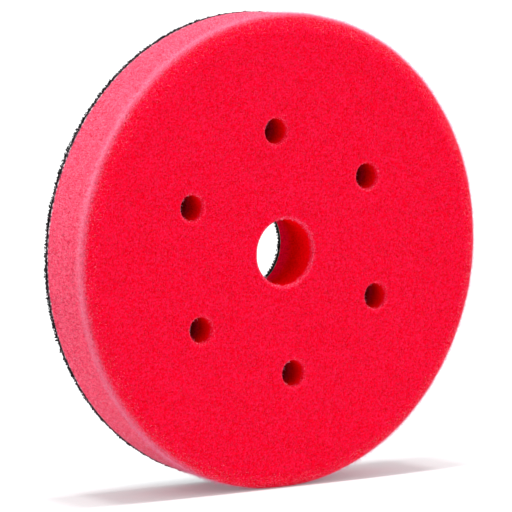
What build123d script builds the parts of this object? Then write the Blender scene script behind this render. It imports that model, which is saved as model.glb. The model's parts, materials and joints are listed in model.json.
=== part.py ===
"""Foam polishing pad for a dual action polisher.

An open-cell foam disc with a rounded working edge, a centre hole and a ring of six smaller holes,
bonded by a hot-melt film to a loop fabric that grips the hook face of the machine's backing plate.

Millimetres. The pad stands on its rim: the spin axis is Y, the working face looks towards -Y,
the loop face lies in the plane Y = 0, and +Z is up. The origin is on the spin axis at the loop face.
"""

from build123d import *
import os

# Driving dimensions
PAD_DIAMETER = 155.0  # across the edge of the working face, before that edge is rounded
PAD_THICKNESS = 25.0  # working face to loop face
FOAM_BACK_DIAMETER = 153.0  # the side wall narrows slightly towards the fabric
WORKING_EDGE_RADIUS = 3.5
FABRIC_DIAMETER = 153.0  # cut flush with the back of the foam
FABRIC_THICKNESS = 1.0  # knitted ground and loop pile together
FILM_THICKNESS = 0.5  # the hot-melt film with the skin of foam that it has soaked into
CENTRE_HOLE_DIAMETER = 21.6  # at the working face
CENTRE_HOLE_LAND = 8.0  # depth over which the centre hole stays straight, from the working face
CENTRE_HOLE_BACK_DIAMETER = 28.8  # the centre hole widens towards the fabric, which is cut to this size
RING_HOLE_DIAMETER = 8.4
RING_DIAMETER = 80.0  # pitch circle of the small holes
RING_COUNT = 6
RING_FIRST_ANGLE = 95.0  # degrees from +X towards +Z: the pad stands turned a little from a hole on top

# Depths below the loop face, towards the working face
FABRIC_FRONT = FABRIC_THICKNESS
FOAM_BACK = FABRIC_THICKNESS + FILM_THICKNESS

# Plane.XZ looks out of the working face, so its offsets are depths below the loop face
LOOP_FACE = Plane.XZ


with BuildPart() as foam_pad:
    # Half section through the spin axis, turned into the disc
    with BuildSketch(Plane.XY) as half_section:
        with BuildLine():
            Polyline(
                (0, -FOAM_BACK),
                (FOAM_BACK_DIAMETER / 2, -FOAM_BACK),
                (PAD_DIAMETER / 2, -PAD_THICKNESS),
                (0, -PAD_THICKNESS),
                close=True,
            )
        make_face()
        working_edge = half_section.vertices().group_by(Axis.X)[-1]
        fillet(working_edge, radius=WORKING_EDGE_RADIUS)
    revolve(axis=Axis.Y)
    with Locations(LOOP_FACE):
        Hole(CENTRE_HOLE_DIAMETER / 2)
        with PolarLocations(RING_DIAMETER / 2, RING_COUNT, start_angle=RING_FIRST_ANGLE):
            Hole(RING_HOLE_DIAMETER / 2)
    # The flared part of the centre hole
    with BuildSketch(Plane.XY):
        with BuildLine():
            Polyline(
                (0, -FOAM_BACK),
                (CENTRE_HOLE_BACK_DIAMETER / 2, -FOAM_BACK),
                (CENTRE_HOLE_DIAMETER / 2, CENTRE_HOLE_LAND - PAD_THICKNESS),
                (0, CENTRE_HOLE_LAND - PAD_THICKNESS),
                close=True,
            )
        make_face()
    revolve(axis=Axis.Y, mode=Mode.SUBTRACT)
foam_pad.part.label = "foam_pad"


with BuildPart() as adhesive_film:
    with BuildSketch(LOOP_FACE.offset(FABRIC_FRONT)):
        Circle(FOAM_BACK_DIAMETER / 2)
        Circle(CENTRE_HOLE_BACK_DIAMETER / 2, mode=Mode.SUBTRACT)
        with PolarLocations(RING_DIAMETER / 2, RING_COUNT, start_angle=RING_FIRST_ANGLE):
            Circle(RING_HOLE_DIAMETER / 2, mode=Mode.SUBTRACT)
    extrude(amount=FILM_THICKNESS)
adhesive_film.part.label = "adhesive_film"


with BuildPart() as loop_fabric:
    with BuildSketch(LOOP_FACE):
        Circle(FABRIC_DIAMETER / 2)
        Circle(CENTRE_HOLE_BACK_DIAMETER / 2, mode=Mode.SUBTRACT)
        with PolarLocations(RING_DIAMETER / 2, RING_COUNT, start_angle=RING_FIRST_ANGLE):
            Circle(RING_HOLE_DIAMETER / 2, mode=Mode.SUBTRACT)
    extrude(amount=FABRIC_THICKNESS)
loop_fabric.part.label = "loop_fabric"


os.makedirs("parts", exist_ok=True)
export_step(foam_pad.part, "parts/foam_pad.step")
export_step(adhesive_film.part, "parts/adhesive_film.step")
export_step(loop_fabric.part, "parts/loop_fabric.step")
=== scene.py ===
"""Looks for a foam polishing pad: porous red foam, a bond film and a black knitted loop fabric.

The pad stands on its rim. Its spin axis is Y, the working face looks towards -Y and +Z is up. The dense
meshes are worked out in millimetres and written in metres.
"""

import json
import math

import bmesh
import bpy
import numpy as np
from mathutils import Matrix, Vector


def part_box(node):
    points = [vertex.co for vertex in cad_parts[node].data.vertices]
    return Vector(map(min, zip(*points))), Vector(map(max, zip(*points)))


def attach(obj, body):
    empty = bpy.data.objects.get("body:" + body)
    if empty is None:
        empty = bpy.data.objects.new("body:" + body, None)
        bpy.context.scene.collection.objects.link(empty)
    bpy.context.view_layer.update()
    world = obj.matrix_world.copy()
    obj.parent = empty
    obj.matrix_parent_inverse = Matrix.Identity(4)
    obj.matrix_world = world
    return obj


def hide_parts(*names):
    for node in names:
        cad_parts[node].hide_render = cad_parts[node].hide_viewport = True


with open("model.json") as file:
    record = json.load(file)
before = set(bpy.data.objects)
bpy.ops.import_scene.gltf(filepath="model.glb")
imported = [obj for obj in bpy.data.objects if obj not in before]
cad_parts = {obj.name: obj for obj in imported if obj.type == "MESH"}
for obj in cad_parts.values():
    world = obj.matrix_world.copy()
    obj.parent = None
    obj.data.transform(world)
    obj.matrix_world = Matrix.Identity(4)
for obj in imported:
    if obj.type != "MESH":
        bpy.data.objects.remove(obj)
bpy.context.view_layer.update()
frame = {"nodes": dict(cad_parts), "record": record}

MM = 0.001
RANDOM = np.random.default_rng(12)

# The CAD's own sizes, in millimetres
foam_box, film_box, fabric_box = (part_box(node) for node in ("foam_pad", "adhesive_film", "loop_fabric"))
mounts = {mount["name"]: mount["dims"] for mount in frame["record"]["mounts"]}
FACE_Y = foam_box[0].y / MM
FOAM_BACK_Y = foam_box[1].y / MM
FABRIC_FRONT_Y = fabric_box[0].y / MM
LOOP_Y = fabric_box[1].y / MM
FOAM_BACK_RADIUS = film_box[1].z / MM
FABRIC_RADIUS = fabric_box[1].z / MM
FLOOR_Z = foam_box[0].z
CENTRE_RADIUS = mounts["centre_bore"]["r_mm"]
CENTRE_LAND = mounts["centre_bore"]["length_mm"]  # how deep the centre hole stays straight
CENTRE_BACK_RADIUS = 14.4  # the centre hole's radius at the fabric, as in the CAD
RING_RADIUS = mounts["vent_holes"]["pcd_mm"] / 2
RING_COUNT = mounts["vent_holes"]["count"]
RING_HOLE_RADIUS = mounts["vent_holes"]["hole_r_mm"]
RING_FIRST_ANGLE = 95.0  # degrees from +X towards +Z, as in the CAD
FACE_EDGE_RADIUS = 77.5  # the working face, out to where the wall would meet it unrounded
RIM_ZONE = 9.0  # the pad's rim, as against its holes, starts this much inside the back's radius

# Foam surface, in millimetres
FOAM_GRID = 0.25
EDGE_WIDTH, EDGE_DROP = 6.5, 2.8  # the working edge is rounded over this width of face and depth of wall
HOLE_ROUNDING = 1.5
CELL_SIZE = 0.62
PORE_DEPTH = 0.32
STRUT_LENGTH = 0.5  # loose ends of foam that stand up along the cut edges
CENTRE_LIT_DEPTH = 12.0  # how deep light from the front reaches into the centre hole
RING_LIT_DEPTH = 13.0  # and into the small ones

# Loop fabric, in millimetres
SHEET_GRID = 0.4
SHEET_THICKNESS = 1.05
PILE_PROUD = 0.85  # uncrushed loops stand this far out of the CAD's loop face
BARE_RIM = 0.75  # round each hole the loops start this much farther in than at the outer edge
WALE_SPACING, COURSE_SPACING = 1.15, 0.95
LOOP_SPACING = 0.82
LOOP_JITTER = 0.34
LOOP_FIBRE = 0.08  # radius of a loop's bundle of filaments
TUFT_SPACING = 1.1  # loops bunch together along the fabric's cut edges
FIBRES_PER_TUFT = (("loop", 6), ("end", 7), ("stray", 1))
STRAY_CHANCE = 0.12  # only this share of the tufts has a stray fibre


def hole_axes():
    """Each hole's place on the face, as x, z and radius: the centre hole, then the ring."""
    holes = [(0.0, 0.0, CENTRE_RADIUS)]
    for k in range(RING_COUNT):
        angle = math.radians(RING_FIRST_ANGLE) + k * math.tau / RING_COUNT
        holes.append((RING_RADIUS * math.cos(angle), RING_RADIUS * math.sin(angle), RING_HOLE_RADIUS))
    return holes


HOLES = hole_axes()


# ---- numbers from places -------------------------------------------------------------------------


def smooth_step(low, high, value):
    """A smooth ramp from 0 at low to 1 at high, and level beyond them. low may be the greater."""
    t = np.clip((value - low) / (high - low), 0.0, 1.0)
    return t * t * (3.0 - 2.0 * t)


def scramble(i, j, k, seed):
    """A repeatable random number from 0 to 1 for each whole-number place and seed."""
    h = (i * 73856093) ^ (j * 19349663) ^ (k * 83492791) ^ (seed * 2654435761)
    h = (h ^ (h >> 13)) & 0xFFFFFFFF
    h = (h * 1274126177) & 0xFFFFFFFF
    h = (h ^ (h >> 16)) & 0xFFFFFFFF
    return h.astype(np.float64) / 0xFFFFFFFF


def cell_walls(points, size):
    """For each point, how far it is from the nearest wall between foam cells, and its cell's own number."""
    scaled = points / size
    home = np.floor(scaled).astype(np.int64)
    nearest = np.full(len(points), 9.0)
    second = np.full(len(points), 9.0)
    owner = np.zeros(len(points))
    for di in (-1, 0, 1):
        for dj in (-1, 0, 1):
            for dk in (-1, 0, 1):
                i, j, k = home[:, 0] + di, home[:, 1] + dj, home[:, 2] + dk
                dx = i + scramble(i, j, k, 1) - scaled[:, 0]
                dy = j + scramble(i, j, k, 2) - scaled[:, 1]
                dz = k + scramble(i, j, k, 3) - scaled[:, 2]
                away = np.sqrt(dx * dx + dy * dy + dz * dz)
                closer = away < nearest
                second = np.where(closer, nearest, np.minimum(second, away))
                owner = np.where(closer, scramble(i, j, k, 4), owner)
                nearest = np.where(closer, away, nearest)
    return second - nearest, owner


def value_noise(points, size, seed):
    """Smooth noise from -1 to 1 with features of about that size."""
    scaled = points / size
    home = np.floor(scaled).astype(np.int64)
    part = scaled - home
    part = part * part * (3.0 - 2.0 * part)
    total = np.zeros(len(points))
    for di in (0, 1):
        for dj in (0, 1):
            for dk in (0, 1):
                weight = (
                    (part[:, 0] if di else 1 - part[:, 0])
                    * (part[:, 1] if dj else 1 - part[:, 1])
                    * (part[:, 2] if dk else 1 - part[:, 2])
                )
                total += weight * scramble(home[:, 0] + di, home[:, 1] + dj, home[:, 2] + dk, seed)
    return total * 2.0 - 1.0


# ---- smooth shapes -------------------------------------------------------------------------------


def rounded_meet(a, b, width_a, width_b):
    """The solid inside both a and b, with their shared edge rounded over those widths."""
    u = np.maximum(a + width_a, 0.0) / width_a
    v = np.maximum(b + width_b, 0.0) / width_b
    return (np.hypot(u, v) - 1.0) * width_b


def hole_radius(index, y):
    """The radius of a hole at depth y: the centre hole flares towards the fabric."""
    if index:
        return np.full_like(y, HOLES[index][2])
    start = FACE_Y + CENTRE_LAND
    flare = np.clip((y - start) / (FOAM_BACK_Y - start), 0.0, 1.0)
    return CENTRE_RADIUS + (CENTRE_BACK_RADIUS - CENTRE_RADIUS) * flare


def foam_distance(points):
    """Roughly the signed distance to the foam's smooth surface, negative inside."""
    x, y, z = points.T
    share = (FOAM_BACK_Y - y) / (FOAM_BACK_Y - FACE_Y)
    wall_radius = FOAM_BACK_RADIUS + (FACE_EDGE_RADIUS - FOAM_BACK_RADIUS) * share
    body = rounded_meet(np.hypot(x, z) - wall_radius, FACE_Y - y, EDGE_WIDTH, EDGE_DROP)
    for index, (hole_x, hole_z, _) in enumerate(HOLES):
        hole = hole_radius(index, y) - np.hypot(x - hole_x, z - hole_z)
        body = rounded_meet(hole, body, HOLE_ROUNDING, HOLE_ROUNDING)
    return np.maximum(body, y - FOAM_BACK_Y)


def fabric_hole_radius(index):
    """The radius of the fabric's own hole, which matches the foam's at its back."""
    return HOLES[index][2] if index else CENTRE_BACK_RADIUS


def sheet_distance(points):
    """Roughly the signed distance to the knitted ground of the loop fabric."""
    x, y, z = points.T
    turned = 0.2
    above_loop_side = y - FABRIC_FRONT_Y - SHEET_THICKNESS
    body = rounded_meet(np.hypot(x, z) - FABRIC_RADIUS, above_loop_side, turned, turned)
    for index, (hole_x, hole_z, _) in enumerate(HOLES):
        hole = fabric_hole_radius(index) - np.hypot(x - hole_x, z - hole_z)
        body = rounded_meet(hole, body, turned, turned)
    return np.maximum(body, FABRIC_FRONT_Y - y)


def slope_of(distance, points, step=0.01):
    """The slope of a distance at each point, by central differences."""
    slope = np.empty_like(points)
    for axis in range(3):
        offset = np.zeros(3)
        offset[axis] = step
        slope[:, axis] = (distance(points + offset) - distance(points - offset)) / (2 * step)
    return slope


def settle(distance, points, rounds=3):
    """Moves points onto the surface where the distance is nought, and returns them with their normals."""
    for _ in range(rounds):
        slope = slope_of(distance, points)
        square = np.maximum((slope * slope).sum(axis=1), 0.04)
        points = points - slope * (distance(points) / square)[:, None]
    slope = slope_of(distance, points)
    length = np.linalg.norm(slope, axis=1, keepdims=True)
    return points, slope / np.maximum(length, 1e-9)


# ---- meshes --------------------------------------------------------------------------------------


def read_places(mesh):
    """The mesh's vertices as rows of x, y, z."""
    flat = np.empty(len(mesh.vertices) * 3, np.float32)
    mesh.vertices.foreach_get("co", flat)
    return flat.reshape(-1, 3).astype(np.float64)


def write_places(mesh, places):
    """Moves the mesh's vertices to these places."""
    mesh.vertices.foreach_set("co", places.astype(np.float32).ravel())
    mesh.update()


def fine_copy(node, name, grid):
    """The CAD node's mesh in millimetres, rebuilt as an even grid of quads."""
    mesh = frame["nodes"][node].data.copy()
    mesh.materials.clear()
    write_places(mesh, read_places(mesh) / MM)
    piece = bpy.data.objects.new(name, mesh)
    bpy.context.scene.collection.objects.link(piece)
    remesh = piece.modifiers.new("grid", "REMESH")
    remesh.mode = "VOXEL"
    remesh.voxel_size = grid
    settled = piece.evaluated_get(bpy.context.evaluated_depsgraph_get())
    fine = bpy.data.meshes.new_from_object(settled)
    fine.name = name
    piece.modifiers.clear()
    piece.data = fine
    return piece


def flatten_hidden_side(mesh, plane_y, facing):
    """Swaps the dense faces beyond a hidden plane, on the side it faces, for a few large ones."""
    work = bmesh.new()
    work.from_mesh(mesh)
    hidden = [f for f in work.faces if all((v.co.y - plane_y) * facing > 0 for v in f.verts)]
    bmesh.ops.delete(work, geom=hidden, context="FACES")
    rim = [e for e in work.edges if e.is_boundary]
    bmesh.ops.triangle_fill(work, use_beauty=False, edges=rim, normal=(0, facing, 0))
    bmesh.ops.recalc_face_normals(work, faces=work.faces)
    work.to_mesh(mesh)
    work.free()


def store(mesh, name, values):
    """Keeps one number per vertex, for the materials to read."""
    layer = mesh.attributes.new(name, "FLOAT", "POINT")
    layer.data.foreach_set("value", values.astype(np.float32))


def corners(mesh):
    """Each corner's vertex and face, and each face's number of corners."""
    vertex = np.empty(len(mesh.loops), np.int32)
    mesh.loops.foreach_get("vertex_index", vertex)
    total = np.empty(len(mesh.polygons), np.int32)
    mesh.polygons.foreach_get("loop_total", total)
    return vertex, np.repeat(np.arange(len(total)), total), total


def face_means(values, vertex, face, total):
    """The mean over each face's corners of the columns of values at the vertices."""
    sums = [np.bincount(face, weights=column[vertex], minlength=len(total)) for column in values.T]
    return np.stack(sums, axis=1) / total[:, None]


def write_uv(mesh, u, v):
    """A UV layout, named OFBake, for baking the materials into."""
    layer = mesh.uv_layers.new(name="OFBake")
    layer.data.foreach_set("uv", np.stack([u, v], axis=1).astype(np.float32).ravel())


def lay_out_foam(mesh, places, outward):
    """Flattens the foam's skin, in millimetres on a square of side atlas: the face as a disc, the walls
    unrolled into strips, and the back made small."""
    atlas = 256.0
    disc_middle = 79.0
    back_middle_u, back_middle_v, back_shrink = 205.0, 45.0, 0.5
    strip_height = 25.5
    vertex, face, total = corners(mesh)
    middle = face_means(places, vertex, face, total)
    upright = np.abs(face_means(outward, vertex, face, total)[:, 1]) < 0.7
    away = np.hypot(middle[:, 0], middle[:, 2])
    corner = places[vertex]
    u = corner[:, 0] + disc_middle
    v = corner[:, 2] + disc_middle

    def unroll(faces, centre_x, centre_z, radius, left, bottom, strips):
        """Puts a round wall into that many strips, one above the other."""
        picked = faces[face]
        x, y, z = corner[picked].T
        turn = np.arctan2(middle[:, 2] - centre_z, middle[:, 0] - centre_x)[face[picked]] + math.pi
        own = np.arctan2(z - centre_z, x - centre_x) + math.pi
        own += math.tau * np.round((turn - own) / math.tau)
        strip = np.minimum(np.floor(turn / math.tau * strips), strips - 1)
        u[picked] = left + (own - strip * math.tau / strips) * radius
        v[picked] = bottom + strip * strip_height + y - FACE_Y

    unroll(upright & (away > FOAM_BACK_RADIUS - 3), 0.0, 0.0, 78.0, 1.0, 160.0, 3)
    unroll(upright & (away < CENTRE_BACK_RADIUS + 3), 0.0, 0.0, 13.0, 168.0, 132.0, 1)
    for index, (hole_x, hole_z, radius) in enumerate(HOLES[1:]):
        near = np.hypot(middle[:, 0] - hole_x, middle[:, 2] - hole_z) < radius + 3
        left, bottom = 168.0 + 29.0 * (index % 3), 160.0 + strip_height * (index // 3)
        unroll(upright & near, hole_x, hole_z, radius, left, bottom, 1)
    back = (middle[:, 1] > FOAM_BACK_Y - 0.01)[face]
    u[back] = back_middle_u + corner[back, 0] * back_shrink
    v[back] = back_middle_v + corner[back, 2] * back_shrink
    write_uv(mesh, u / atlas, v / atlas)


def off_the_foot(z, depth):
    """1 over most of the working edge, falling to 0.2 at its foot, where the pad stands. On the cut wall's
    paleness this is painted shade near the floor.
    """
    return 1.0 - 0.8 * smooth_step(-64, -76, z) * (1.0 - smooth_step(2.0, 3.5, depth))


def foam_piece():
    """The foam disc: soft edges, and a skin of open pores."""
    piece = fine_copy("foam_pad", "foam_body", FOAM_GRID)
    mesh = piece.data
    flatten_hidden_side(mesh, FOAM_BACK_Y - FOAM_GRID / 2 - 0.02, 1)
    places, outward = settle(foam_distance, read_places(mesh))
    lay_out_foam(mesh, places, outward)
    x, y, z = places.T
    depth = y - FACE_Y
    away = np.hypot(x, z)
    turn = np.arctan2(z, x)
    outer = away > FOAM_BACK_RADIUS - RIM_ZONE
    side = outward[:, 1] < 0.7  # all but the flat back

    # The cut wall is paler than the worked face, partly its own colour and partly painted sheen, and palest
    # with a painted highlight where the edge turns. Painted shade keeps it hardly paler at the foot of the
    # edge, where the pad stands. The holes' lips are paler too, partly painted sheen.
    tilt = np.degrees(np.arccos(np.clip(-outward[:, 1], -1, 1)))
    cut = smooth_step(18, 66, tilt)
    wall_pale_and_sheen = cut * (0.66 + 0.34 * np.exp(-(((depth - 3.4) / 1.5) ** 2)))
    wall_pale_and_sheen *= off_the_foot(z, depth)
    lip = np.zeros(len(x))
    for index, (hole_x, hole_z, radius) in enumerate(HOLES):
        beside_hole = np.hypot(x - hole_x, z - hole_z) - radius - 0.35
        strength = 0.4 if index else 1.0
        lip = np.maximum(lip, strength * np.exp(-((beside_hole / 0.6) ** 2) - (depth / 0.8) ** 2))
    pale = np.where(outer, wall_pale_and_sheen, 0.5 * lip)

    # Streaks that a blade leaves around the wall, and slow unevenness everywhere
    along = np.stack([np.cos(turn) * 9.0, y * 1.6, np.sin(turn) * 9.0], axis=1)
    streak = value_noise(along, 1.0, 7) * cut * outer
    cloud = value_noise(places, 6.0, 8)

    gap, owner = cell_walls(places, CELL_SIZE)
    pore = smooth_step(0.05, 0.45, gap) * (0.35 + 0.65 * owner)
    swell = value_noise(places, 9.0, 5) * 0.10 + value_noise(places, 2.7, 6) * 0.05 + streak * 0.05
    sink = PORE_DEPTH * (pore - 0.42) - swell
    sink[outward[:, 1] > 0.7] = 0.0  # the back is bonded flat
    store(mesh, "pore", np.clip(pore + cloud * 0.05, 0, 1))
    store(mesh, "pale", np.clip(pale + (streak * 0.10 + cloud * 0.03) * cut, 0, 1))
    places = places - outward * sink[:, None]
    write_places(mesh, places * MM)

    # How much light reaches a hole's wall: less with depth, in the centre hole in two steps
    centre_lit = 1.0 - 0.55 * smooth_step(1.0, CENTRE_LIT_DEPTH, depth)
    centre_lit -= 0.22 * smooth_step(CENTRE_LIT_DEPTH, 22.0, depth)
    ring_lit = 1.0 - smooth_step(0.5, RING_LIT_DEPTH, depth)
    store(mesh, "lit", np.where(away < CENTRE_BACK_RADIUS + 3, centre_lit, ring_lit))

    # The slots: 0 the worked face, 1 the cut wall and edge with their nap of loose ends, 2 the holes' walls.
    # Where one changes into another, each face's slot is drawn by chance, so that no border shows.
    vertex, face, total = corners(mesh)
    cut_share = np.maximum(smooth_step(72.0, 76.3, away), smooth_step(0.6, 1.6, depth)) * outer
    hole_share = smooth_step(0.5, 2.2, depth) * side * ~outer
    shares = face_means(np.stack([cut_share, hole_share], axis=1), vertex, face, total)
    drawn = RANDOM.random(len(total))
    slots = (drawn < shares[:, 0]) + 2 * (drawn < shares[:, 1])
    mesh.polygons.foreach_set("material_index", slots.astype(np.int32))

    # Loose ends stand thickest and longest where the edge turns, and a few reach over the fabric's seam
    ridge = smooth_step(22, 50, tilt) * (1.0 - 0.85 * smooth_step(2.5, 6.0, depth)) * side * outer
    ridge *= off_the_foot(z, depth)
    rim = smooth_step(71.0, 75.0, away) * (depth < 2.0)
    seam = smooth_step(21.9, 23.0, depth) * outer * side
    chance = np.maximum.reduce([0.95 * ridge, 0.10 * rim, 0.3 * lip, 0.2 * seam])
    towards_fabric = seam[:, None] * np.array([0.0, 0.9, 0.0])
    return piece, loose_struts(places, outward + towards_fabric, chance, 1.0 + 0.7 * ridge)


def loose_struts(places, outward, chance, stretch):
    """Short pale ends of cell struts, standing on the foam wherever the chance allows."""
    chosen = RANDOM.random(len(places)) < chance
    start, out = places[chosen], outward[chosen]
    out = out + RANDOM.normal(0, 0.45, out.shape)
    out /= np.linalg.norm(out, axis=1, keepdims=True)
    length = STRUT_LENGTH * stretch[chosen] * RANDOM.gamma(4.0, 0.25, len(start))
    t = np.array([-0.25, 1.0])
    paths = start[:, None, :] + out[:, None, :] * (t[None, :] * length[:, None])[:, :, None]
    paths[:, :, 2] = np.maximum(paths[:, :, 2], FLOOR_Z / MM + 0.03)
    radii = RANDOM.uniform(0.018, 0.03, len(start))[:, None] * np.array([1.0, 0.35])[None, :]
    return fibres("foam_struts", paths, radii, 2)


def sheet_piece():
    """The knitted ground of the loop fabric: a thin sheet with ribs of stitches on its loop side."""
    piece = fine_copy("loop_fabric", "fabric_ground", SHEET_GRID)
    mesh = piece.data
    flatten_hidden_side(mesh, FABRIC_FRONT_Y + SHEET_GRID / 2 + 0.02, -1)
    places, outward = settle(sheet_distance, read_places(mesh), 5)
    x, y, z = places.T
    row = z / COURSE_SPACING
    shift = 0.25 * np.sin(math.pi * row)
    rib = np.abs(np.sin(math.pi * (x / WALE_SPACING + shift)))
    stitch = 0.5 + 0.5 * np.cos(math.tau * (row + 0.35 * rib))
    relief = 0.10 * rib * (0.45 + 0.55 * stitch) + 0.04 * value_noise(places, 2.2, 9)
    store(mesh, "rib", rib * (0.4 + 0.6 * stitch))
    vertex, _, _ = corners(mesh)
    flat = places[:, [0, 2]] + outward[:, [0, 2]] * (FABRIC_FRONT_Y + SHEET_THICKNESS - y)[:, None]
    flat = flat[vertex] / 160.0 + 0.5
    write_uv(mesh, flat[:, 0], flat[:, 1])
    ragged = 0.12 + 0.30 * value_noise(places, TUFT_SPACING, 10) + 0.16 * value_noise(places, 0.7, 11)
    at_edge = 1.0 - smooth_step(0.1, 0.7, np.abs(outward[:, 1]))
    places += outward * np.array([1.0, 0.0, 1.0]) * (ragged * at_edge)[:, None]
    places[:, 1] += np.where(outward[:, 1] > 0.5, relief - 0.05, 0.0)
    write_places(mesh, places * MM)
    return piece


def fibres(name, paths, radii, shades):
    """Many thin three-sided tubes in one mesh, dealt out over that many shades of material. paths is tubes x
    points x 3 and radii is tubes x points, in millimetres."""
    count, points, _ = paths.shape
    sides = 3
    along = np.gradient(paths, axis=1)
    along /= np.maximum(np.linalg.norm(along, axis=2, keepdims=True), 1e-9)
    span = paths[:, -1] - paths[:, 0]
    bow = paths[:, points // 2] - (paths[:, 0] + paths[:, -1]) / 2
    flat = np.cross(span, bow + np.array([0.013, 0.021, 0.017]))
    flat /= np.maximum(np.linalg.norm(flat, axis=1, keepdims=True), 1e-9)
    across = np.repeat(flat[:, None, :], points, axis=1)
    other = np.cross(along, across)
    other /= np.maximum(np.linalg.norm(other, axis=2, keepdims=True), 1e-9)
    turn = np.arange(sides) * math.tau / sides
    ring = (
        across[:, :, None, :] * np.cos(turn)[None, None, :, None]
        + other[:, :, None, :] * np.sin(turn)[None, None, :, None]
    )
    places = paths[:, :, None, :] + ring * radii[:, :, None, None]
    index = np.arange(count * points * sides).reshape(count, points, sides)
    here, there = index[:, :-1], index[:, 1:]
    quads = np.stack([here, np.roll(here, -1, axis=2), np.roll(there, -1, axis=2), there], axis=-1)
    quads = quads.reshape(-1, 4)
    mesh = bpy.data.meshes.new(name)
    mesh.vertices.add(count * points * sides)
    mesh.loops.add(quads.size)
    mesh.polygons.add(len(quads))
    mesh.vertices.foreach_set("co", (places * MM).astype(np.float32).ravel())
    mesh.loops.foreach_set("vertex_index", quads.astype(np.int32).ravel())
    mesh.polygons.foreach_set("loop_start", np.arange(0, quads.size, 4, dtype=np.int32))
    shade = np.repeat(RANDOM.integers(0, shades, count), (points - 1) * sides)
    mesh.polygons.foreach_set("material_index", shade.astype(np.int32))
    mesh.update(calc_edges=True)
    piece = bpy.data.objects.new(name, mesh)
    bpy.context.scene.collection.objects.link(piece)
    return piece


def on_fabric(x, z, margin):
    """True where a point of the fabric's plane is at least margin inside its edges."""
    kept = np.hypot(x, z) < FABRIC_RADIUS - margin
    for index, (hole_x, hole_z, _) in enumerate(HOLES):
        kept &= np.hypot(x - hole_x, z - hole_z) > fabric_hole_radius(index) + margin + BARE_RIM
    return kept


def loop_pile():
    """The raised loops that hooks catch: arches of fibre in jittered rows over the knitted ground."""
    steps = np.arange(-FABRIC_RADIUS, FABRIC_RADIUS, LOOP_SPACING)
    x, z = (grid.ravel() for grid in np.meshgrid(steps, steps))
    x = x + RANDOM.uniform(-LOOP_JITTER, LOOP_JITTER, len(x))
    z = z + RANDOM.uniform(-LOOP_JITTER, LOOP_JITTER, len(z))
    kept = on_fabric(x, z, 0.35)
    x, z = x[kept], z[kept]
    count = len(x)
    spots = np.stack([x, np.zeros(count), z], axis=1)
    heading = 0.6 + 1.3 * value_noise(spots, 11.0, 12) + RANDOM.normal(0, 0.5, count)
    reach = RANDOM.uniform(0.6, 1.2, count)
    foot_y = FABRIC_FRONT_Y + SHEET_THICKNESS - 0.12
    height = (LOOP_Y + PILE_PROUD - foot_y) * RANDOM.uniform(0.62, 0.95, count)
    height *= 0.88 + 0.12 * value_noise(spots, 7.0, 13)
    lean = RANDOM.uniform(-0.45, 0.45, count)
    t = np.linspace(0.0, 1.0, 6)
    arch = np.sin(math.pi * t) ** 0.8
    run = (t - 0.5)[None, :] * reach[:, None] * (1 + 0.5 * arch)[None, :]
    side = lean[:, None] * arch[None, :] * height[:, None]
    ahead, beside = np.cos(heading)[:, None], np.sin(heading)[:, None]
    path_x = x[:, None] + run * ahead - side * beside
    path_y = foot_y + height[:, None] * arch[None, :]
    path_z = z[:, None] + run * beside + side * ahead
    thick = LOOP_FIBRE * RANDOM.uniform(0.75, 1.2, count)
    radii = np.repeat(thick[:, None], len(t), axis=1)
    return fibres("loop_pile", np.stack([path_x, path_y, path_z], axis=2), radii, 3)


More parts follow.
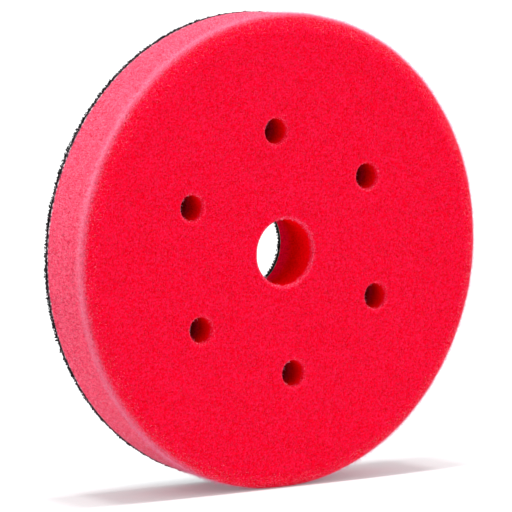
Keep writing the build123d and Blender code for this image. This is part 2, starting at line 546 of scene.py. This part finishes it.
def edge_fuzz():
    """Loops and cut fibres, bunched into tufts, that stick out of the fabric's rim and round its holes."""
    edges = [(0.0, 0.0, FABRIC_RADIUS, 1)]
    edges += [(hole_x, hole_z, fabric_hole_radius(k), -1) for k, (hole_x, hole_z, _) in enumerate(HOLES)]
    t = np.linspace(0.0, 1.0, 5)
    level_low, level_high = FABRIC_FRONT_Y + 0.1, LOOP_Y + PILE_PROUD - 0.25
    all_paths, all_radii = [], []
    for centre_x, centre_z, radius, facing in edges:
        tufts = int(math.tau * radius / TUFT_SPACING)
        strength = RANDOM.uniform(0.2, 1.4, tufts)
        for kind, per_tuft in FIBRES_PER_TUFT:
            tuft = np.repeat(np.arange(tufts), per_tuft)
            if kind == "stray":
                tuft = tuft[RANDOM.random(tufts) < STRAY_CHANCE]
            count = len(tuft)
            turn = (tuft + RANDOM.normal(0, 0.2, count)) / tufts * math.tau
            radial = np.stack([np.cos(turn), np.zeros(count), np.sin(turn)], axis=1)
            around = np.stack([-np.sin(turn), np.zeros(count), np.cos(turn)], axis=1)
            start = radial * (radius - facing * 0.15) + np.array([centre_x, 0.0, centre_z])
            start[:, 1] = RANDOM.uniform(level_low, level_high, count)
            rise = np.array([0.0, 1.0, 0.0]) * RANDOM.normal(0.1, 0.35, count)[:, None]
            out = radial * facing + around * RANDOM.normal(0, 0.4, count)[:, None] + rise
            out /= np.linalg.norm(out, axis=1, keepdims=True)
            if kind == "loop":
                reach = 0.2 + RANDOM.uniform(0.15, 0.45, count) * strength[tuft]
                width = RANDOM.uniform(0.3, 0.6, count)
                outward_part = reach[:, None] * np.sin(math.pi * t)[None, :] ** 0.7
                sideways = (t[None, :] - 0.5) * width[:, None]
                thick, taper = RANDOM.uniform(0.09, 0.15, count), np.ones(5)
            else:
                low, spread, least = (0.3, 0.35, 0.05) if kind == "end" else (0.7, 0.9, 0.03)
                reach = low + RANDOM.uniform(0.0, spread, count) * strength[tuft]
                outward_part = reach[:, None] * t[None, :]
                sideways = RANDOM.normal(0, 0.35, count)[:, None] * (t**2)[None, :] * reach[:, None]
                thick, taper = RANDOM.uniform(least, 1.8 * least, count), 1.0 - 0.7 * t
            path = start[:, None, :] + out[:, None, :] * outward_part[:, :, None]
            all_paths.append(path + around[:, None, :] * sideways[:, :, None])
            all_radii.append(thick[:, None] * taper[None, :])
    paths = np.concatenate(all_paths)
    paths[:, :, 1] = np.maximum(paths[:, :, 1], FABRIC_FRONT_Y - 0.2)
    paths[:, :, 2] = np.maximum(paths[:, :, 2], FLOOR_Z / MM + 0.16)
    return fibres("edge_fuzz", paths, np.concatenate(all_radii), 3)


# ---- materials -----------------------------------------------------------------------------------


def new_material(name):
    """A fresh material with its nodes, its links and its shader."""
    material = bpy.data.materials.new(name)
    material.use_nodes = True
    nodes = material.node_tree.nodes
    return material, nodes, material.node_tree.links, nodes["Principled BSDF"]


def ramp(nodes, links, source, stops):
    """A colour ramp through stops of (position, colour), driven by an output socket."""
    node = nodes.new("ShaderNodeValToRGB")
    elements = node.color_ramp.elements
    while len(elements) < len(stops):
        elements.new(0.5)
    for element, (position, colour) in zip(elements, stops):
        element.position = position
        element.color = (*colour, 1)
    links.new(source, node.inputs["Fac"])
    return node.outputs["Color"]


def attribute(nodes, name):
    """A number stored at the vertices."""
    node = nodes.new("ShaderNodeAttribute")
    node.attribute_name = name
    return node.outputs["Fac"]


def noise(nodes, links, scale, detail=2.0):
    """Noise over the piece's own space, with scale features to the metre."""
    place = nodes.new("ShaderNodeTexCoord")
    node = nodes.new("ShaderNodeTexNoise")
    node.inputs["Scale"].default_value = scale
    node.inputs["Detail"].default_value = detail
    links.new(place.outputs["Object"], node.inputs["Vector"])
    return node.outputs["Fac"]


def mixed(nodes, links, factor, first, second, blend="MIX"):
    """Two colours blended by a factor. Each of the three is an output socket or a plain value."""
    node = nodes.new("ShaderNodeMix")
    node.data_type = "RGBA"
    node.blend_type = blend
    for socket, value in ((node.inputs[0], factor), (node.inputs[6], first), (node.inputs[7], second)):
        if isinstance(value, bpy.types.NodeSocket):
            links.new(value, socket)
        else:
            socket.default_value = value
    return node.outputs[2]


def add_bump(nodes, links, shader, height, distance):
    """Fine relief in the shading, with its distance in metres."""
    bump = nodes.new("ShaderNodeBump")
    bump.inputs["Distance"].default_value = distance
    links.new(height, bump.inputs["Height"])
    links.new(bump.outputs["Normal"], shader.inputs["Normal"])


def add_roughness(nodes, links, shader, source, low, high):
    """Roughness that runs from low to high with a source from 0 to 1."""
    node = nodes.new("ShaderNodeMapRange")
    node.inputs["To Min"].default_value = low
    node.inputs["To Max"].default_value = high
    links.new(source, node.inputs["Value"])
    links.new(node.outputs["Result"], shader.inputs["Roughness"])


# Base colours of the struts and of the pits between them; the pits' darker colour is painted shade. For the
# face and the cut wall the stops run from the worked face's colour to the palest of the cut, which is partly
# painted sheen, and for the holes from the darkest place to the front: painted shade, deepest inside, with a
# painted crimson of light coming in from the back partway in.
SKIN_STRUTS = [(0.0, (0.885, 0.0115, 0.068)), (0.66, (0.93, 0.105, 0.200)), (1.0, (0.95, 0.168, 0.255))]
SKIN_PITS = [(0.0, (0.65, 0.0004, 0.0180)), (0.66, (0.51, 0.012, 0.050)), (1.0, (0.68, 0.060, 0.112))]
HOLE_STRUTS = [(0.0, (0.34, 0, 0)), (0.23, (0.66, 0, 0.040)), (0.45, (0.66, 0, 0)), (1.0, (0.92, 0, 0.006))]
HOLE_PITS = [(0.0, (0.24, 0, 0)), (0.23, (0.52, 0, 0.030)), (0.45, (0.54, 0, 0)), (1.0, (0.80, 0, 0.003))]


def foam_material(name, along, struts, pits, sheen, spread):
    """Red foam: deeper and darker down in the pores, with smaller pores between: painted shade. along is the
    attribute that the stops run over; sheen and its spread are the nap of loose ends."""
    material, nodes, links, shader = new_material(name)
    pore = attribute(nodes, "pore")
    level = attribute(nodes, along)
    # Fine pits between the cells: darkened in colour with painted shade, and bumped
    place = nodes.new("ShaderNodeTexCoord")
    cells = nodes.new("ShaderNodeTexVoronoi")
    cells.inputs["Scale"].default_value = 2500.0
    links.new(place.outputs["Object"], cells.inputs["Vector"])
    fine = nodes.new("ShaderNodeMapRange")
    for socket, value in (("From Min", 0.12), ("From Max", 0.55), ("To Min", 1.0), ("To Max", 0.0)):
        fine.inputs[socket].default_value = value
    links.new(cells.outputs["Distance"], fine.inputs["Value"])
    both = nodes.new("ShaderNodeMath")
    both.operation = "MULTIPLY_ADD"
    both.use_clamp = True
    both.inputs[1].default_value = 0.85
    links.new(fine.outputs["Result"], both.inputs[0])
    part = nodes.new("ShaderNodeMath")
    part.operation = "MULTIPLY"
    part.inputs[1].default_value = 0.75
    links.new(pore, part.inputs[0])
    links.new(part.outputs["Value"], both.inputs[2])
    strut = ramp(nodes, links, level, struts)
    pit = ramp(nodes, links, level, pits)
    skin = mixed(nodes, links, both.outputs["Value"], strut, pit)
    # Random patches of purer red, fainter where the cut is palest
    patch_noise = noise(nodes, links, 1900.0, 1.0)
    patch = ramp(nodes, links, patch_noise, [(0.42, (1.0, 0.04, 0.30)), (0.58, (1, 1, 1))])
    faded = nodes.new("ShaderNodeMapRange")
    faded.inputs["To Min"].default_value = 1.0
    faded.inputs["To Max"].default_value = 0.15
    links.new(level, faded.inputs["Value"])
    skin = mixed(nodes, links, faded.outputs["Result"], skin, patch, "MULTIPLY")
    links.new(skin, shader.inputs["Base Color"])
    grain = noise(nodes, links, 5200.0)
    add_roughness(nodes, links, shader, grain, 0.88, 1.0)
    add_bump(nodes, links, shader, fine.outputs["Result"], -0.00006)
    shader.inputs["Specular IOR Level"].default_value = 0.0
    shader.inputs["Sheen Weight"].default_value = sheen
    shader.inputs["Sheen Roughness"].default_value = spread
    return material


def strut_materials():
    """Two shades for the loose ends of foam, paler than the foam: painted light shining through the thin
    ends.
    """
    materials = []
    for index, colour in enumerate(((0.94, 0.46, 0.62), (0.92, 0.21, 0.40))):
        material, _, _, shader = new_material(f"foam_strut_{index}")
        shader.inputs["Base Color"].default_value = (*colour, 1)
        shader.inputs["Roughness"].default_value = 0.8
        shader.inputs["Specular IOR Level"].default_value = 0.1
        materials.append(material)
    return materials


def film_material():
    """Hot-melt film, dark where it has soaked into the fabric and pale where its cut edge catches light."""
    material, nodes, links, shader = new_material("bond_film")
    specks = noise(nodes, links, 850.0, 1.0)
    dark = (0.02, 0.006, 0.01)
    edge_stops = [(0.0, dark), (0.52, (0.05, 0.01, 0.02)), (0.58, (0.70, 0.50, 0.55))]
    place = nodes.new("ShaderNodeTexCoord")
    away = nodes.new("ShaderNodeVectorMath")
    away.operation = "LENGTH"
    links.new(place.outputs["Object"], away.inputs[0])
    outer = nodes.new("ShaderNodeMath")
    outer.operation = "GREATER_THAN"
    outer.inputs[1].default_value = 0.06  # metres from the axis, between the holes and the rim
    links.new(away.outputs["Value"], outer.inputs[0])
    edge = ramp(nodes, links, specks, edge_stops)
    links.new(mixed(nodes, links, outer.outputs["Value"], (*dark, 1), edge), shader.inputs["Base Color"])
    add_roughness(nodes, links, shader, specks, 0.25, 0.6)
    add_bump(nodes, links, shader, specks, 0.0001)
    return material


def ground_material():
    """Black knit, lighter along the ribs of its stitches."""
    material, nodes, links, shader = new_material("knit_black")
    rib = attribute(nodes, "rib")
    yarn = ramp(nodes, links, rib, [(0.0, (0.003, 0.002, 0.003)), (1.0, (0.015, 0.014, 0.017))])
    cloud = noise(nodes, links, 260.0)
    shade = ramp(nodes, links, cloud, [(0.3, (0.6, 0.6, 0.62)), (0.7, (1.0, 1.0, 1.0))])
    links.new(mixed(nodes, links, 1.0, yarn, shade, "MULTIPLY"), shader.inputs["Base Color"])
    twist = noise(nodes, links, 5000.0)
    add_roughness(nodes, links, shader, twist, 0.7, 0.95)
    add_bump(nodes, links, shader, twist, 0.00006)
    shader.inputs["Specular IOR Level"].default_value = 0.12
    shader.inputs["Sheen Weight"].default_value = 0.06
    return material


FIBRE_SHADES = [((0.003, 0.002, 0.003), 0.6), ((0.006, 0.005, 0.007), 0.55), ((0.016, 0.015, 0.019), 0.5)]


def fibre_materials(name):
    """Three close shades of black fibre, dealt out over the separate fibres."""
    materials = []
    for index, (colour, roughness) in enumerate(FIBRE_SHADES):
        material, _, _, shader = new_material(f"{name}_{index}")
        shader.inputs["Base Color"].default_value = (*colour, 1)
        shader.inputs["Roughness"].default_value = roughness
        shader.inputs["Specular IOR Level"].default_value = 0.08
        materials.append(material)
    return materials


# ---- stage ---------------------------------------------------------------------------------------


def make_floor():
    """A pale floor under the rim, a little lit from within so that the light in its shadows stays cool."""
    mesh = bpy.data.meshes.new("floor")
    reach = 6.0
    flat = [(-reach, -reach), (reach, -reach), (reach, reach), (-reach, reach)]
    mesh.from_pydata([(x, y, FLOOR_Z) for x, y in flat], [], [(0, 1, 2, 3)])
    floor = bpy.data.objects.new("floor", mesh)
    bpy.context.scene.collection.objects.link(floor)
    material, _, _, shader = new_material("floor_white")
    shader.inputs["Base Color"].default_value = (0.6, 0.6, 0.6, 1)
    shader.inputs["Roughness"].default_value = 0.9
    shader.inputs["Specular IOR Level"].default_value = 0.1
    shader.inputs["Emission Color"].default_value = (0.85, 0.93, 1, 1)
    shader.inputs["Emission Strength"].default_value = 0.18
    floor.data.materials.append(material)


def make_lights():
    """A white tent, and a strip light overhead: three suns side by side, whose shadows fade at the ends."""
    world = bpy.data.worlds.new("studio")
    bpy.context.scene.world = world
    world.use_nodes = True
    background = world.node_tree.nodes["Background"]
    background.inputs["Color"].default_value = (1, 1, 1, 1)
    background.inputs["Strength"].default_value = 1.0
    towards_front = -0.04
    for slant in (-0.21, 0.0, 0.21):
        data = bpy.data.lights.new("overhead", "SUN")
        data.energy = 3.24 / 3
        data.angle = math.radians(8)
        lamp = bpy.data.objects.new("overhead", data)
        lamp.rotation_euler = Vector((slant, towards_front, 1)).to_track_quat("Z", "Y").to_euler()
        bpy.context.scene.collection.objects.link(lamp)


def make_camera():
    """A long lens, low and from the left, with the face's centre a little right of the picture's middle."""
    azimuth, elevation = math.radians(-34.5), math.radians(7.17)
    distance, lens = 1.9481, 421.875
    face_right_of_middle, face_above_middle = 0.0096, 0.00109
    level = Vector((math.sin(azimuth), -math.cos(azimuth), 0))
    back = level * math.cos(elevation) + Vector((0, 0, math.sin(elevation)))
    right = Vector((math.cos(azimuth), math.sin(azimuth), 0))
    up = back.cross(right)
    data = bpy.data.cameras.new("camera")
    data.sensor_width = 36
    data.lens = lens
    data.clip_end = 50
    camera = bpy.data.objects.new("camera", data)
    face_centre = Vector((0, FACE_Y * MM, 0))
    aim = face_centre - right * face_right_of_middle - up * face_above_middle
    camera.location = aim + back * distance
    camera.rotation_euler = (aim - camera.location).to_track_quat("-Z", "Y").to_euler()
    bpy.context.scene.collection.objects.link(camera)
    bpy.context.scene.camera = camera
    bpy.context.scene.view_settings.view_transform = "Standard"


# ---- the pad -------------------------------------------------------------------------------------

foam, struts = foam_piece()
foam.data.materials.append(foam_material("foam_face", "pale", SKIN_STRUTS, SKIN_PITS, 0.2, 0.28))
foam.data.materials.append(foam_material("foam_cut", "pale", SKIN_STRUTS, SKIN_PITS, 0.9, 0.27))
# The holes' walls take their colour from lit: painted shade deep inside, painted crimson of light partway in
foam.data.materials.append(foam_material("foam_hole", "lit", HOLE_STRUTS, HOLE_PITS, 0.0, 0.3))
for material in strut_materials():
    struts.data.materials.append(material)
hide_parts("foam_pad")

film = frame["nodes"]["adhesive_film"]
film.data.materials.clear()
film.data.materials.append(film_material())

ground = sheet_piece()
ground.data.materials.append(ground_material())
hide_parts("loop_fabric")
pile = loop_pile()
fuzz = edge_fuzz()
for piece in (pile, fuzz):
    for material in fibre_materials(piece.name):
        piece.data.materials.append(material)
for piece in (foam, struts, ground, pile, fuzz):
    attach(piece, "root")

make_floor()
make_lights()
make_camera()
